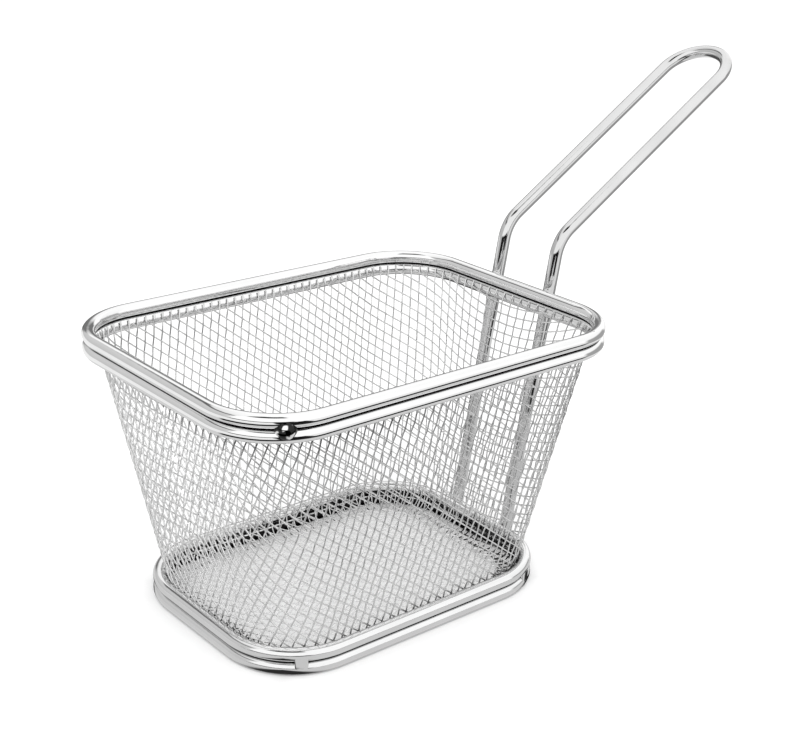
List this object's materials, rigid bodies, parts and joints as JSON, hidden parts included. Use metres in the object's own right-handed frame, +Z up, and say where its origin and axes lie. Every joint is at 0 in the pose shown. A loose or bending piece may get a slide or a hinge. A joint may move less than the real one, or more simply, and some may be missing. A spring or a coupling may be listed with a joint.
{
  "type": "fry serving basket",
  "caption": "Small tapered wire-mesh tub for serving fries, with double wire rings at rim and base and a looped, upward-sloping wire handle.",
  "frame": {"origin": "middle of the footprint of the lower base ring, on the surface it stands on", "axes": "+X towards the handle along the long side, +Y along the short side, +Z up"},
  "size_m": [0.2255, 0.1032, 0.1529],
  "materials": {
    "steel_wire": "bright polished stainless wire",
    "steel_mesh": "bright woven stainless wire cloth"
  },
  "bodies": {
    "root": {"upper_rim_ring": "steel_wire", "lower_rim_ring": "steel_wire", "upper_base_ring": "steel_wire", "lower_base_ring": "steel_wire", "mesh_basket": "steel_mesh", "handle": "steel_wire"}
  },
  "joints": []
}
